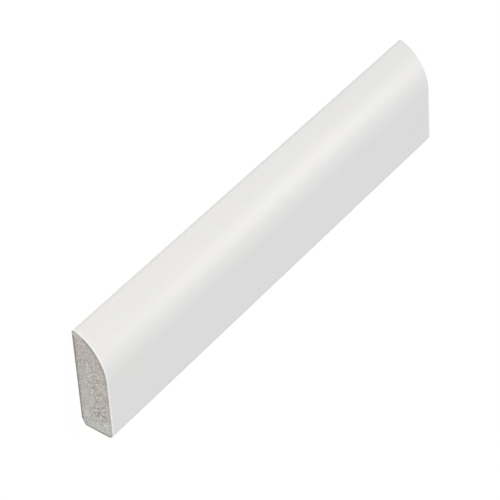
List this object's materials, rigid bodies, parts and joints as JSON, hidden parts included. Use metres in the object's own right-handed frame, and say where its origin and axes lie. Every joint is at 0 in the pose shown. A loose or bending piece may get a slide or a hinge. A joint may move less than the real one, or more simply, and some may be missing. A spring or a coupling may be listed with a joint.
{
  "type": "fillet moulding",
  "caption": "Cut length of white cellular plastic fillet moulding: flat back, flat front that rounds over to a thin edge, and a leaned-in square edge.",
  "frame": {"origin": "middle of the space it takes up, on the back face, which is what it lies on", "axes": "+X along the length, towards the far end in the picture; +Y across the width, from the square edge to the thin rounded edge; +Z out of the front face"},
  "size_m": [0.124, 0.025, 0.0077],
  "materials": {
    "white_cellular_plastic": "satin white skin on the extruded faces; fine open beige-grey foam cells on the two cut ends"
  },
  "bodies": {
    "root": {"fillet_moulding": "white_cellular_plastic"}
  },
  "joints": []
}
